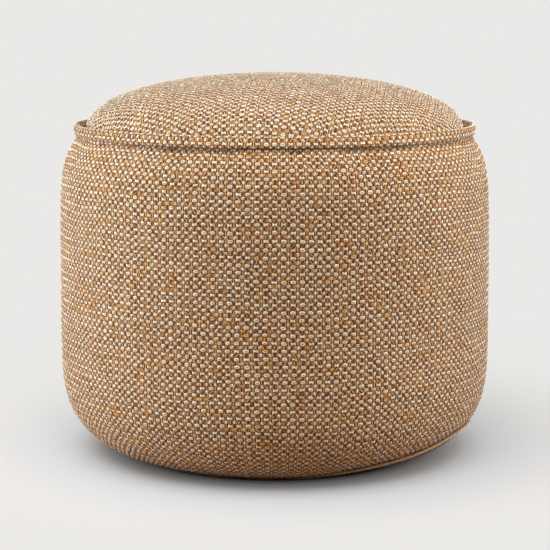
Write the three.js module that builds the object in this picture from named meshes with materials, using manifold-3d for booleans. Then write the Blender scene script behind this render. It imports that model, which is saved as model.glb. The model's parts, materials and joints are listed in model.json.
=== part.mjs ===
import * as THREE from "three";
import { mergeVertices } from "three/addons/utils/BufferGeometryUtils.js";
import Module from "manifold-3d";

// Round woven outdoor pouf: a filled inner bag in a removable cover that closes with
// an arc of zip in its base seam. Millimetres, +Z up, origin at the centre of the base,
// front along -Y, the zip along the back.

// Outline of the cover. The base and the neck are measured in from the belly's radius, and
// the crown's foot from the neck's.
const bellyDiameter = 510;
const bellyHeight = 137;
const baseCornerReach = 102.7;
const baseSeamInset = 63.2;
const neckInset = 22.3;
const neckHeight = 372;
const crownFootInset = 10.2;
const crownHeight = 446;
const sideTaper = 2.5;

// How full each curve is, as powers of its share
const cornerReachPower = 1.109;
const cornerRisePower = 0.571;
const shoulderPower = 10;
const crownRisePower = 2.4;
const crownReachPower = 0.5;

// Thickness of the layers, from the outside in
const coverWall = 3;
const linerWall = 0.8;
const waddingWall = 10;
const seamGap = 0.3;

// Standing flange round the top and the bound edge of the seam under it
const flangeHeight = 12.4;
const flangeThickness = 6;
const flangeLean = 4;
const flangeSlit = 0.6;
const boundEdgeDepth = 12;
const boundEdgeThickness = 5;

// Inner bag and foam
const bagSliderGap = 1;
const bagShoulderDrop = 67;
const padDepth = 60;

// Zip, with its cross direction over the seam and its depth below the cover's face
const zipArc = 120;
const zipWindowWidth = 14;
const zipTapeReach = 15;
const zipTapeWall = 0.8;
const zipToothPitch = 5;
const zipToothHeight = 3;
const zipChainWidth = 9.2;
const zipSpineWidth = 1.8;
const zipSlotWidth = 1.7;
const zipToothHeadWidth = 2.1;
const zipToothRootWidth = 1.6;
const zipStopLength = 3;
const zipEndMargin = 2;

// Slider and its pull
const sliderLength = 13;
const sliderNoseWidth = 12.6;
const sliderTailWidth = 11;
const sliderRounding = 2.2;
const sliderWing = 1;
const sliderRunGap = 0.4;
const sliderLipWidth = 1.1;
const sliderPostWidth = 0.9;
const sliderPostLength = 3.5;
const bridgeSpan = 4.6;
const bridgeLeg = 1.2;
const bridgeWidth = 2.2;
const bridgeTop = 1.1;
const pullLength = 20;
const pullWidth = 8;
const pullTipWidth = 6;
const pullTipRounding = 1.8;
const pullThickness = 1.2;
const pullRestGap = 0.5;
const pullArmGap = 0.6;
const pullGripHole = 3;

// Fineness of the meshes
const coverSides = 54;
const bagSides = 27;
const zipSteps = 30;
const foldSteps = 4;
const overrun = 1;

// Where the outlines have their points, as shares of each stretch
const cornerShares = [0.3, 0.62, 1];
const baseShares = [0, 0.55];
const sideShares = [0.4, 0.7, 0.88, 1];
const crownShares = [0, 0.22, 0.42, 0.58, 0.72, 0.83, 0.91, 0.97, 1];

const bellyRadius = bellyDiameter / 2;
const baseFlatRadius = bellyRadius - baseCornerReach;
const neckRadius = bellyRadius - neckInset;
const crownFootRadius = neckRadius - crownFootInset;
const brimUnderside = neckHeight + seamGap;
const brimTop = brimUnderside + coverWall;
const bagTop = neckHeight - boundEdgeDepth;
const bagShoulder = bagTop - bagShoulderDrop;
const linerDepth = coverWall + seamGap;
const waddingDepth = linerDepth + linerWall + seamGap;
const foamDepth = waddingDepth + waddingWall + seamGap;

const wasm = await Module();
wasm.setup();

// A closed mesh as a solid that can be joined and cut
function solid(geometry) {
  const bare = geometry.clone();
  bare.deleteAttribute("normal");
  bare.deleteAttribute("uv");
  const merged = mergeVertices(bare);
  return new wasm.Manifold(new wasm.Mesh({
    numProp: 3,
    vertProperties: new Float32Array(merged.attributes.position.array),
    triVerts: new Uint32Array(merged.index.array),
  }));
}

function geometryOf(body) {
  const mesh = body.getMesh();
  const geometry = new THREE.BufferGeometry();
  geometry.setAttribute("position", new THREE.BufferAttribute(mesh.vertProperties, 3));
  geometry.setIndex(new THREE.BufferAttribute(mesh.triVerts, 1));
  return geometry;
}

function join(...geometries) {
  const bodies = geometries.map(solid);
  return geometryOf(bodies.reduce((whole, next) => whole.add(next)));
}

const cut = (geometry, tool) => geometryOf(solid(geometry).subtract(solid(tool)));

const point = (radius, height) => new THREE.Vector2(radius, height);

// A revolved piece from an outline in radius and height, which starts and ends on the
// axis or, as a ring, is closed here
function revolve(outline, sides, ring = false) {
  const points = ring ? [...outline, outline[0]] : outline;
  return new THREE.LatheGeometry(points, sides).rotateX(Math.PI / 2);
}

// The rounded corner between the base and the belly, at a depth below the cover's face
function corner(turn, depth, flatRadius) {
  const reach = Math.sin(turn) ** cornerReachPower;
  const rise = 1 - Math.max(0, Math.cos(turn)) ** cornerRisePower;
  return point(
    flatRadius + (bellyRadius - depth - flatRadius) * reach,
    depth + (bellyHeight - depth) * rise,
  );
}

// The side above the belly: an even taper that turns in at the shoulder
function sideRadius(height) {
  const share = (height - bellyHeight) / (neckHeight - bellyHeight);
  const shoulderReach = bellyRadius - sideTaper - neckRadius;
  return bellyRadius - sideTaper * share - shoulderReach * share ** shoulderPower;
}

// The crown, from its foot at share 0 to its top at share 1
function crown(share, depth) {
  const reach = (1 - share ** crownRisePower) ** crownReachPower;
  return point((crownFootRadius - depth) * reach, brimTop + (crownHeight - depth - brimTop) * share);
}

// The base seam lies in the middle of a short straight stretch of the corner, wide
// enough for the zip and its tapes. Places near it are given across the seam, upwards,
// and out from the cover's face.
const quarter = Math.PI / 2;
const seamReachShare = (baseCornerReach - baseSeamInset) / baseCornerReach;
const seamTurn = Math.asin(seamReachShare ** (1 / cornerReachPower));
const smallTurn = 0.001;
const afterSeam = corner(seamTurn + smallTurn, 0, baseFlatRadius);
const smallStep = afterSeam.distanceTo(corner(seamTurn, 0, baseFlatRadius));
const facetTurn = (zipTapeReach + overrun) * smallTurn / smallStep;
const facetLow = corner(seamTurn - facetTurn, 0, baseFlatRadius);
const facetHigh = corner(seamTurn + facetTurn, 0, baseFlatRadius);
const facetReach = facetLow.distanceTo(facetHigh) / 2;
const seamPoint = facetLow.clone().lerp(facetHigh, 1 / 2);
const seamSlope = facetHigh.clone().sub(facetLow).angle();

function onSeam(across, out) {
  return point(
    seamPoint.x + across * Math.cos(seamSlope) + out * Math.sin(seamSlope),
    seamPoint.y + across * Math.sin(seamSlope) - out * Math.cos(seamSlope),
  );
}

// The cover's three panels
function sidePanelOutline() {
  const start = seamTurn + facetTurn;
  const heights = [...sideShares.map((k) => bellyHeight + k * (bagTop - bellyHeight)), neckHeight];
  const wall = (depth) => [
    onSeam(seamGap / 2, -depth),
    onSeam(facetReach, -depth),
    ...cornerShares.map((k) => corner(start + k * (quarter - start), depth, baseFlatRadius)),
    ...heights.map((z) => point(sideRadius(z) - depth, z)),
  ];
  return [...wall(0), ...wall(coverWall).reverse()];
}

function basePanelOutline() {
  const end = seamTurn - facetTurn;
  const wall = (depth) => [
    point(0, depth),
    ...baseShares.map((k) => corner(k * end, depth, baseFlatRadius)),
    onSeam(-facetReach, -depth),
    onSeam(-seamGap / 2, -depth),
  ];
  return [...wall(0), ...wall(coverWall).reverse()];
}

function topPanelOutline() {
  const outer = crownShares.map((k) => crown(k, 0));
  const inner = crownShares.map((k) => crown(k, coverWall));
  return [
    ...inner.reverse(),
    point(crownFootRadius - coverWall, brimUnderside),
    point(neckRadius, brimUnderside),
    point(neckRadius, brimTop),
    ...outer,
  ];
}

// The flange is a strip folded double: two plies with a slit between them, joined by
// the round fold at the top, leaning out over the neck
function flangeOutline() {
  const half = flangeThickness / 2;
  const foot = point(neckRadius - half, brimTop + seamGap);
  const fold = point(foot.x + flangeLean, foot.y + flangeHeight - half);
  const round = [];
  for (let i = 0; i <= foldSteps; i += 1) {
    const angle = Math.PI * i / foldSteps;
    round.push(point(fold.x + half * Math.cos(angle), fold.y + half * Math.sin(angle)));
  }
  return [
    point(foot.x + half, foot.y),
    ...round,
    point(foot.x - half, foot.y),
    point(foot.x - flangeSlit / 2, foot.y),
    point(fold.x - flangeSlit / 2, fold.y),
    point(fold.x + flangeSlit / 2, fold.y),
    point(foot.x + flangeSlit / 2, foot.y),
  ];
}

function boundEdgeOutline() {
  const inner = crownFootRadius - coverWall + seamGap;
  const top = neckHeight - seamGap;
  const bottom = bagTop + seamGap;
  return [
    point(inner, bottom),
    point(inner + boundEdgeThickness, bottom),
    point(inner + boundEdgeThickness, top),
    point(inner, top),
  ];
}

// How far out from the cover's face the zip's tapes, teeth and slider lie
const tapeFace = -coverWall - seamGap;
const tapeBack = tapeFace - zipTapeWall;
const chainMiddle = (tapeFace + tapeBack) / 2;
const toothOut = chainMiddle + zipToothHeight / 2;
const toothIn = chainMiddle - zipToothHeight / 2;
const wingOutBottom = toothOut + sliderRunGap;
const wingOutTop = wingOutBottom + sliderWing;
const wingInTop = toothIn - sliderRunGap;
const wingInBottom = wingInTop - sliderWing;

// The filled bag: its side is straight between three heights, its rounded corner passes
// clear of the slider, and every layer in it is cut from that outline
const bagLevels = [bellyHeight, bagShoulder, bagTop];

function bagFlatRadiusClearOf(place, depth) {
  const rise = (place.y - depth) / (bellyHeight - depth);
  const turn = Math.acos((1 - rise) ** (1 / cornerRisePower));
  const reach = Math.sin(turn) ** cornerReachPower;
  return (place.x - (bellyRadius - depth) * reach) / (1 - reach);
}

const bagClearPlace = onSeam(-sliderNoseWidth / 2, wingInBottom - bagSliderGap);
const bagFlatRadius = bagFlatRadiusClearOf(bagClearPlace, linerDepth);

function bagRadius(height) {
  const upper = height > bagShoulder ? 2 : 1;
  const low = bagLevels[upper - 1];
  const high = bagLevels[upper];
  return THREE.MathUtils.lerp(sideRadius(low), sideRadius(high), (height - low) / (high - low));
}

const bagSeamSplit = seamGap * smallTurn / smallStep;

function bagWall(depth, top) {
  const start = seamTurn + bagSeamSplit;
  return [
    corner(start, depth, bagFlatRadius),
    ...cornerShares.map((k) => corner(start + k * (quarter - start), depth, bagFlatRadius)),
    point(bagRadius(bagShoulder) - depth, bagShoulder),
    point(bagRadius(top) - depth, top),
  ];
}

function bagBase(depth) {
  const turns = [...baseShares, 1].map((k) => k * seamTurn);
  return [point(0, depth), ...turns.map((turn) => corner(turn, depth, bagFlatRadius))];
}

const bagCrownShares = crownShares.filter((_, i) => i % 2 === 0);
const bagCrown = (depth) => bagCrownShares.map((k) => crown(k, depth));

function bagDisc(depth, thickness) {
  return [...bagBase(depth), ...bagBase(depth + thickness).reverse()];
}

function bagCap(depth, thickness, foot) {
  return [
    ...bagCrown(depth + thickness).reverse(),
    point(crownFootRadius - depth - thickness, foot),
    point(crownFootRadius - depth, foot),
    ...bagCrown(depth),
  ];
}

const linerDepthIn = linerDepth + linerWall;
const linerSideOutline = [
  ...bagWall(linerDepth, bagTop),
  point(crownFootRadius - linerDepthIn, bagTop),
  point(crownFootRadius - linerDepthIn, bagTop - linerWall),
  ...bagWall(linerDepthIn, bagTop - linerWall).reverse(),
];

const waddingTop = bagTop - linerWall - seamGap;
const waddingSideOutline = [
  ...bagWall(waddingDepth, waddingTop),
  ...bagWall(waddingDepth + waddingWall, waddingTop).reverse(),
];

const padTop = waddingTop;
const padBottom = padTop - padDepth;
const padOutline = [
  point(0, padBottom),
  point(bagRadius(padBottom) - foamDepth, padBottom),
  point(bagRadius(padTop) - foamDepth, padTop),
  point(crownFootRadius - foamDepth, padTop),
  ...bagCrown(foamDepth),
];

const coreTop = padBottom - seamGap;
const coreOutline = [
  ...bagBase(foamDepth),
  ...bagWall(foamDepth, coreTop).slice(1),
  point(0, coreTop),
];

// Zip pieces are drawn along the seam, across it and out from the cover's face, and
// are then bent round the seam
const radians = Math.PI / 180;
const zipStart = quarter - zipArc * radians / 2;
const zipLength = zipArc * radians * seamPoint.x;

function bendRoundSeam(geometry) {
  const place = geometry.attributes.position;
  for (let i = 0; i < place.count; i += 1) {
    const angle = zipStart + place.getX(i) / seamPoint.x;
    const { x: radius, y: height } = onSeam(place.getY(i), place.getZ(i));
    place.setXYZ(i, radius * Math.cos(angle), radius * Math.sin(angle), height);
  }
  return geometry;
}

// A flat strip along the whole zip, between two distances across and two out
function zipStrip(acrossFrom, acrossTo, inner, outer) {
  const strip = new THREE.BoxGeometry(zipLength, acrossTo - acrossFrom, outer - inner, zipSteps)
    .translate(zipLength / 2, (acrossFrom + acrossTo) / 2, (inner + outer) / 2);
  return bendRoundSeam(strip);
}

const windowTool = zipStrip(-zipWindowWidth / 2, zipWindowWidth / 2, -coverWall - overrun, overrun);

function extrudeOut(shape, from, to) {
  const settings = { depth: to - from, bevelEnabled: false };
  return new THREE.ExtrudeGeometry(shape, settings).translate(0, 0, from);
}

function rectangle(x0, y0, x1, y1) {
  return new THREE.Shape([point(x0, y0), point(x1, y0), point(x1, y1), point(x0, y1)]);
}

// One row of moulded teeth on its spine, side +1 above the seam and -1 below it
const chainEdge = zipChainWidth / 2;
const spineFace = chainEdge - zipSpineWidth;
const slotEdge = zipSlotWidth / 2;
const teethStart = zipEndMargin + zipStopLength;

// A piece of spine from one length to another, with a dovetail tooth on it or bare
function rowOutline(from, to, toothed) {
  const middle = (from + to) / 2;
  const tooth = [
    point(middle - zipToothRootWidth / 2, spineFace),
    point(middle - zipToothHeadWidth / 2, slotEdge),
    point(middle + zipToothHeadWidth / 2, slotEdge),
    point(middle + zipToothRootWidth / 2, spineFace),
  ];
  return [
    point(from, chainEdge),
    point(from, spineFace),
    ...(toothed ? tooth : []),
    point(to, spineFace),
    point(to, chainEdge),
  ];
}

// A closed strip of outlines side by side, which share the ends that they have in common
function stripOf(outlines, thickness) {
  const high = thickness / 2;
  const corners = [];
  const triangle = (...places) => places.forEach(([p, z]) => corners.push(p.x, p.y, z));
  outlines.forEach((outline, n) => {
    THREE.ShapeUtils.triangulateShape(outline, []).forEach(([a, b, c]) => {
      triangle([outline[a], high], [outline[b], high], [outline[c], high]);
      triangle([outline[c], -high], [outline[b], -high], [outline[a], -high]);
    });
    outline.forEach((p, i) => {
      const q = outline[(i + 1) % outline.length];
      const shared = (i === 0 && n > 0) || (i === outline.length - 2 && n < outlines.length - 1);
      if (shared) return;
      triangle([p, -high], [q, -high], [q, high]);
      triangle([p, -high], [q, high], [p, high]);
    });
  });
  const strip = new THREE.BufferGeometry();
  strip.setAttribute("position", new THREE.Float32BufferAttribute(corners, 3));
  return strip;
}

function toothRow(side) {
  const stagger = side > 0 ? 0 : zipToothPitch / 2;
  const start = teethStart + stagger;
  const count = Math.floor((zipLength - teethStart - start) / zipToothPitch);
  const end = start + count * zipToothPitch;
  const outlines = [rowOutline(zipEndMargin, start, false)];
  for (let i = 0; i < count; i += 1) {
    outlines.push(rowOutline(start + i * zipToothPitch, start + (i + 1) * zipToothPitch, true));
  }
  outlines.push(rowOutline(end, zipLength - zipEndMargin, false));
  const row = stripOf(outlines, zipToothHeight);
  if (side < 0) row.rotateX(Math.PI);
  return bendRoundSeam(row.translate(0, 0, chainMiddle));
}

// A stop is moulded over the end of the chain, in the slot or beside one row
const stopEdge = spineFace - seamGap;
const firstStop = zipEndMargin + zipStopLength / 2;

function stop(from, to, along) {
  const block = new THREE.BoxGeometry(zipStopLength, to - from, zipToothHeight)
    .translate(along, (from + to) / 2, chainMiddle);
  return bendRoundSeam(block);
}

// The slider: two wings held apart by the post at its nose, with lips that close in
// over the tape, and a bridge on the outer wing for the pull
const sliderNose = -sliderLength / 2;
const sliderTail = sliderLength / 2;
const lipFace = chainEdge + sliderRunGap;

function wingShape() {
  return new THREE.Shape([
    point(sliderNose, sliderNoseWidth / 2 - sliderRounding),
    point(sliderNose, -sliderNoseWidth / 2 + sliderRounding),
    point(sliderNose + sliderRounding, -sliderNoseWidth / 2),
    point(0, -sliderNoseWidth / 2),
    point(sliderTail, -sliderTailWidth / 2),
    point(sliderTail, sliderTailWidth / 2),
    point(0, sliderNoseWidth / 2),
    point(sliderNose + sliderRounding, sliderNoseWidth / 2),
  ]);
}

function lipShape(side) {
  const shape = [
    point(sliderNose + sliderRounding, lipFace),
    point(sliderTail, lipFace),
    point(sliderTail, sliderTailWidth / 2),
    point(0, lipFace + sliderLipWidth),
    point(sliderNose + sliderRounding, lipFace + sliderLipWidth),
  ];
  return new THREE.Shape(shape.map((p) => point(p.x, side * p.y)));
}

// The pull's bar turns in the middle of the bridge's opening, high enough for the pull to
// lie clear of the cover
const pivotHeight = pullRestGap + pullThickness / 2;
const bridgeClearHeight = 2 * (pivotHeight - wingOutTop);

function bridgeGeometry() {
  const foot = bridgeSpan / 2 + bridgeLeg;
  const haunch = bridgeClearHeight - bridgeLeg;
  const arch = new THREE.Shape([
    point(-foot, -sliderWing / 2),
    point(-bridgeSpan / 2, -sliderWing / 2),
    point(-bridgeSpan / 2, bridgeClearHeight),
    point(bridgeSpan / 2, bridgeClearHeight),
    point(bridgeSpan / 2, -sliderWing / 2),
    point(foot, -sliderWing / 2),
    point(foot, haunch),
    point(bridgeSpan / 2, bridgeClearHeight + bridgeTop),
    point(-bridgeSpan / 2, bridgeClearHeight + bridgeTop),
    point(-foot, haunch),
  ]);
  return extrudeOut(arch, -bridgeWidth / 2, bridgeWidth / 2)
    .rotateX(Math.PI / 2)
    .translate(0, 0, wingOutTop);
}

function sliderGeometry() {
  const postHalf = sliderPostWidth / 2;
  const post = rectangle(sliderNose, -postHalf, sliderNose + sliderPostLength, postHalf);
  const sink = sliderWing / 2;
  return join(
    extrudeOut(wingShape(), wingOutBottom, wingOutTop),
    extrudeOut(wingShape(), wingInBottom, wingInTop),
    extrudeOut(post, wingInTop - sink, wingOutBottom + sink),
    extrudeOut(lipShape(1), tapeFace + sliderRunGap, wingOutBottom + sink),
    extrudeOut(lipShape(-1), tapeFace + sliderRunGap, wingOutBottom + sink),
    extrudeOut(lipShape(1), wingInTop - sink, tapeBack - sliderRunGap),
    extrudeOut(lipShape(-1), wingInTop - sink, tapeBack - sliderRunGap),
    bridgeGeometry(),
  );
}

// The pull: a tapered tab whose cross bar turns under the bridge, drawn lying flat
// from its pivot towards the tail
function pullGeometry() {
  const bar = pullThickness / 2;
  const eyeEnd = bridgeSpan / 2 + bridgeLeg + pullArmGap;
  const eyeHalf = bridgeWidth / 2 + pullArmGap;
  const tipCorner = pullLength - pullTipRounding;
  const tab = new THREE.Shape([
    point(-bar, -pullWidth / 2),
    point(eyeEnd + eyeHalf, -pullWidth / 2),
    point(tipCorner, -pullTipWidth / 2),
    point(pullLength, pullTipRounding - pullTipWidth / 2),
    point(pullLength, pullTipWidth / 2 - pullTipRounding),
    point(tipCorner, pullTipWidth / 2),
    point(eyeEnd + eyeHalf, pullWidth / 2),
    point(-bar, pullWidth / 2),
  ]);
  tab.holes.push(rectangle(bar, -eyeHalf, eyeEnd, eyeHalf));
  const grip = new THREE.Path();
  grip.absarc(pullLength - pullTipWidth / 2 - pullGripHole / 2, 0, pullGripHole / 2, 0, 2 * Math.PI, true);
  tab.holes.push(grip);
  const settings = { depth: pullThickness, bevelEnabled: false, curveSegments: 3 };
  return new THREE.ExtrudeGeometry(tab, settings).translate(0, 0, -pullThickness / 2);
}

// Finishes
function finish(color, roughness, metalness = 0) {
  return new THREE.MeshStandardMaterial({ color, roughness, metalness });
}

const wovenSide = finish(0xa98968, 0.85);
const wovenTop = finish(0xc4ad93, 0.85);
const wovenEdge = finish(0xa8764c, 0.85);
const linerCloth = finish(0xe6e2d8, 0.9);
const wadding = finish(0xf3f1ec, 0.95);
const foam = finish(0xe8dcb4, 0.9);
const firmFoam = finish(0xc9d3d8, 0.9);
const zipCloth = finish(0x5a4332, 0.8);
const zipPlastic = finish(0x3c2c21, 0.45);
const zipMetal = finish(0x6b5e50, 0.35, 0.9);

const pouf = new THREE.Group();

function add(parent, name, geometry, material) {
  const mesh = new THREE.Mesh(geometry, material);
  mesh.name = name;
  parent.add(mesh);
  return mesh;
}

add(pouf, "side_panel", cut(revolve(sidePanelOutline(), coverSides, true), windowTool), wovenSide);
add(pouf, "top_panel", revolve(topPanelOutline(), coverSides), wovenTop);
add(pouf, "base_panel", cut(revolve(basePanelOutline(), coverSides), windowTool), wovenEdge);
add(pouf, "rim_flange", revolve(flangeOutline(), coverSides, true), wovenSide);
add(pouf, "rim_seam_allowance", revolve(boundEdgeOutline(), coverSides, true), wovenEdge);

add(pouf, "liner_side", revolve(linerSideOutline, bagSides, true), linerCloth);
add(pouf, "liner_top", revolve(bagCap(linerDepth, linerWall, bagTop + seamGap), bagSides), linerCloth);
add(pouf, "liner_base", revolve(bagDisc(linerDepth, linerWall), bagSides), linerCloth);
add(pouf, "wadding_side", revolve(waddingSideOutline, bagSides, true), wadding);
add(pouf, "wadding_top", revolve(bagCap(waddingDepth, waddingWall, padTop + seamGap), bagSides), wadding);
add(pouf, "wadding_base", revolve(bagDisc(waddingDepth, waddingWall), bagSides), wadding);
add(pouf, "comfort_pad", revolve(padOutline, bagSides), foam);
add(pouf, "foam_core", revolve(coreOutline, bagSides), firmFoam);

const tapeFrom = chainEdge + seamGap;
add(pouf, "zip_tape_upper", zipStrip(tapeFrom, zipTapeReach, tapeBack, tapeFace), zipCloth);
add(pouf, "zip_tape_lower", zipStrip(-zipTapeReach, -tapeFrom, tapeBack, tapeFace), zipCloth);
add(pouf, "zip_teeth_upper", toothRow(1), zipPlastic);
add(pouf, "zip_teeth_lower", toothRow(-1), zipPlastic);
add(pouf, "zip_top_stop_upper", stop(slotEdge, stopEdge, firstStop), zipMetal);
add(pouf, "zip_top_stop_lower", stop(-stopEdge, -slotEdge, firstStop), zipMetal);
add(pouf, "zip_bottom_stop", stop(-stopEdge, stopEdge, zipLength - firstStop), zipMetal);

// The slider rests against the top stops, with the zip closed, and turns with its pull
// round the pouf's axis
const sliderAt = firstStop + zipStopLength / 2 + seamGap + sliderLength / 2;
const sliderTurn = new THREE.Group();
sliderTurn.rotation.z = zipStart + sliderAt / seamPoint.x;
pouf.add(sliderTurn);

const sliderSeat = new THREE.Group();
sliderSeat.position.set(seamPoint.x, 0, seamPoint.y);
sliderSeat.quaternion.setFromRotationMatrix(new THREE.Matrix4().makeBasis(
  new THREE.Vector3(0, 1, 0),
  new THREE.Vector3(Math.cos(seamSlope), 0, Math.sin(seamSlope)),
  new THREE.Vector3(Math.sin(seamSlope), 0, -Math.cos(seamSlope)),
));
sliderTurn.add(sliderSeat);

add(sliderSeat, "zip_slider", sliderGeometry(), zipMetal);
add(sliderSeat, "zip_pull", pullGeometry(), zipMetal).position.z = pivotHeight;

export default pouf;
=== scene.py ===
# %% [markdown]
# # A round outdoor pouf in woven rope cloth
# The pouf is a drum of foam in a loose cover: a bellied side, a crowned top, a flat base and a
# folded flange that stands up round the top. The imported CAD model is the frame: every piece made
# here sits where its solid sits and rides on the same body.

import json
import math

import bmesh
import bpy
import numpy as np
from mathutils import Matrix, Vector


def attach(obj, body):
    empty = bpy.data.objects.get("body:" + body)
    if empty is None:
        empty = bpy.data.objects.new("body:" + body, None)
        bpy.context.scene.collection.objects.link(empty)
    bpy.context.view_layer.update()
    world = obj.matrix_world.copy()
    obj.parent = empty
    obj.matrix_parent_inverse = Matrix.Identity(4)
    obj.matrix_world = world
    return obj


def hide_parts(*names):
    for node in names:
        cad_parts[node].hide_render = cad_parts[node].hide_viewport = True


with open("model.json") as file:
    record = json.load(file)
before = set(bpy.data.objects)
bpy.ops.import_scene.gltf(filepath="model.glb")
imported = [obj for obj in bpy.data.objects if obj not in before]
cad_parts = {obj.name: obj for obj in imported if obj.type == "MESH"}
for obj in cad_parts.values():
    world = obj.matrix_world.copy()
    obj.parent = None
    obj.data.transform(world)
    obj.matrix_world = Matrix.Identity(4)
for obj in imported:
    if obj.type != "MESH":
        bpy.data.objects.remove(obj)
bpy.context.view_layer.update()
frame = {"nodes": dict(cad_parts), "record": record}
MM = 0.001

# %% [markdown]
# ## Camera
# The photograph is square. Its outline and the tilt of the weave's rows give a camera about two
# metres in front, half a metre up and pitched down by nine degrees.

# %% Camera
PICTURE_WIDTH = 550
FOCAL_LENGTH_IN_PIXELS = 1673.7
CAMERA_PLACE = Vector((0.4, -1983.8, 517.5)) * MM
CAMERA_PITCH = math.radians(8.955)
SENSOR_WIDTH = 36


def put_in_scene(name, data):
    made = bpy.data.objects.new(name, data)
    bpy.context.scene.collection.objects.link(made)
    return made


camera_data = bpy.data.cameras.new("camera")
camera_data.sensor_width = SENSOR_WIDTH
camera_data.lens = SENSOR_WIDTH * FOCAL_LENGTH_IN_PIXELS / PICTURE_WIDTH
camera = put_in_scene("camera", camera_data)
camera.location = CAMERA_PLACE
camera.rotation_euler = (math.pi / 2 - CAMERA_PITCH, 0, 0)
bpy.context.scene.camera = camera
bpy.context.scene.view_settings.view_transform = "Standard"
print("lens in mm:", round(camera_data.lens, 2))

# %% [markdown]
# ## Shader maths
# A material is a tree of nodes. Adding each Math node by hand hides the formula, so a wire in the
# tree is wrapped in a small class: sums and products of wires then add the nodes by themselves.
# The same formulas also work on numpy arrays, which is how the weave's relief goes into the mesh.

# %% Wires
class Wire:
    """An output in a material's tree that can stand in a sum."""

    def __init__(self, paint, socket):
        self.paint, self.socket = paint, socket

    def maths(self, operation, *others):
        return self.paint.node("ShaderNodeMath", {"operation": operation}, self, *others)

    def __add__(self, other):
        return self.maths("ADD", other)

    __radd__ = __add__

    def __mul__(self, other):
        return self.maths("MULTIPLY", other)

    __rmul__ = __mul__

    def __sub__(self, other):
        return self.maths("SUBTRACT", other)

    def __rsub__(self, other):
        return self.maths("MULTIPLY_ADD", -1, other)

    def __truediv__(self, other):
        return self.maths("DIVIDE", other)


# %% Paint
class Paint:
    """A new material or world, with one way to add any node to it."""

    def __init__(self, name, kind="materials", shader="Principled BSDF", **constants):
        self.material = getattr(bpy.data, kind).new(name)
        self.material.use_nodes = True
        self.tree = self.material.node_tree
        self.shader = self.tree.nodes[shader]
        self.body = Wire(self, self.shader.outputs[0])
        for socket, value in constants.items():
            self.shader.inputs[socket.replace("_", " ")].default_value = value

    def feed(self, socket, value):
        if isinstance(value, Wire):
            self.tree.links.new(value.socket, socket)
        else:
            socket.default_value = value

    def node(self, kind, settings=None, *values, output=0, **named):
        made = self.tree.nodes.new(kind)
        for setting, value in (settings or {}).items():
            setattr(made, setting, value)
        for socket, value in zip(made.inputs, values):
            self.feed(socket, value)
        for name, value in named.items():
            self.feed(made.inputs[name.replace("_", " ")], value)
        return Wire(self, made.outputs[output])

    def mix(self, share, first, second):
        """One colour over another, by a share from 0 to 1."""
        made = self.tree.nodes.new("ShaderNodeMix")
        made.data_type = "RGBA"
        colours = [s for s in made.inputs if s.type == "RGBA"]
        self.feed(made.inputs[0], share)
        self.feed(colours[0], first)
        self.feed(colours[1], second)
        return Wire(self, next(s for s in made.outputs if s.type == "RGBA"))

    def ramp(self, value, stops):
        """Flat bands of colour, each from its stop on."""
        made = self.node("ShaderNodeValToRGB", None, value)
        bands = made.socket.node.color_ramp
        bands.interpolation = "CONSTANT"
        for element, (share, tone) in zip(bands.elements, stops):
            element.position, element.color = share, tone
        for share, tone in stops[2:]:
            bands.elements.new(share).color = tone
        return made

    def chance(self, seat):
        """A random number from 0 to 1, the same for the same seat."""
        return self.node("ShaderNodeTexWhiteNoise", {"noise_dimensions": "3D"}, seat)

    def scaled(self, vector, factor):
        return self.node("ShaderNodeVectorMath", {"operation": "SCALE"}, vector, Scale=factor)

    def scaled_by(self, vector, factors):
        return self.node("ShaderNodeVectorMath", {"operation": "MULTIPLY"}, vector, factors)

    def layer(self, name):
        """A number that the mesh keeps for each of its vertices."""
        return self.node("ShaderNodeAttribute", {"attribute_name": name}, output="Fac")

    def place(self):
        """Object coordinates, in metres."""
        return self.node("ShaderNodeTexCoord", output="Object")

    def split(self, vector):
        made = self.node("ShaderNodeSeparateXYZ", None, vector)
        return [Wire(self, socket) for socket in made.socket.node.outputs]

    def grain(self, scale, detail, place):
        """Soft random variation, from 0 to 1."""
        return self.node("ShaderNodeTexNoise", None, place, Scale=scale, Detail=detail)

    def bump(self, strength, depth, height):
        """A bump that is so many mm deep."""
        return self.node("ShaderNodeBump", None, Strength=strength, Distance=depth * MM, Height=height)

    def seen(self):
        """1 for what the camera and gloss see, and 0 for the rest of the light."""
        rays = self.node("ShaderNodeLightPath").socket.node.outputs
        return larger(Wire(self, rays["Is Camera Ray"]), Wire(self, rays["Is Glossy Ray"]))

    def blend(self, share, first, second):
        return self.node("ShaderNodeMixShader", None, share, first, second)

    def surface(self, body, output):
        self.feed(self.tree.nodes[output].inputs["Surface"], body)
        return self.material

    def finish(self, **wires):
        for socket, wire in wires.items():
            self.feed(self.shader.inputs[socket.replace("_", " ")], wire)
        return self.material


# %% Colours, and maths for wires and numbers alike
def colour(red, green, blue):
    """An 8-bit screen colour as the linear colour that Blender works in."""
    shares = [value / 255 for value in (red, green, blue)]
    linear = [s / 12.92 if s <= 0.04045 else ((s + 0.055) / 1.055) ** 2.4 for s in shares]
    return (*linear, 1.0)


def for_both(operation, numpy_form):
    """The same step of maths for wires and for numbers."""
    def step(first, *others):
        if isinstance(first, Wire):
            return first.maths(operation, *others)
        return numpy_form(first, *others)
    return step


floor_of, root_of = for_both("FLOOR", np.floor), for_both("SQRT", np.sqrt)
larger, smaller = for_both("MAXIMUM", np.maximum), for_both("MINIMUM", np.minimum)


def clamped(value):
    """The value, kept between 0 and 1."""
    return smaller(larger(value, 0.0), 1.0)


print("a screen's middle grey in linear light:", round(colour(128, 128, 128)[0], 3))

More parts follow.
